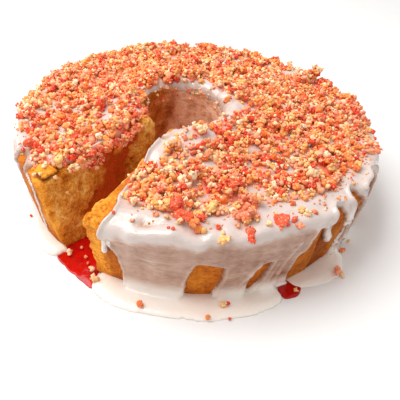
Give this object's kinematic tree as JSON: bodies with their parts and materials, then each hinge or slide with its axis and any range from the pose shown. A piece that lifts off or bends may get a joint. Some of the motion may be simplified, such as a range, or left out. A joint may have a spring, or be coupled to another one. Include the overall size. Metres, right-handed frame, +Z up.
{
  "type": "pound cake",
  "caption": "Ring-shaped pound cake with a slice taken out, white icing dripping down its side into pools, and a crunchy pink and yellow crumb topping.",
  "frame": {"origin": "on the ground under the middle of the cake's outline, pools included", "axes": "+Z up along the cake's axis; the slice's gap opens towards -Y, so +X is to the right of it"},
  "size_m": [0.2571, 0.2508, 0.0707],
  "materials": {
    "cake": "baked cake crumb with a browned crust, dry and matt",
    "icing": "poured white icing, smooth and wet-looking, under a crumb topping",
    "icing_pool": "set pool of white icing, smooth with a soft gloss",
    "sauce": "red fruit sauce, wet and glossy"
  },
  "bodies": {
    "root": {"cake": "cake", "icing": "icing", "icing_pool_front": "icing_pool", "icing_pool_right": "icing_pool", "icing_pool_back": "icing_pool", "icing_pool_left": "icing_pool", "sauce_in_gap": "sauce", "sauce_at_foot": "sauce"}
  },
  "joints": []
}
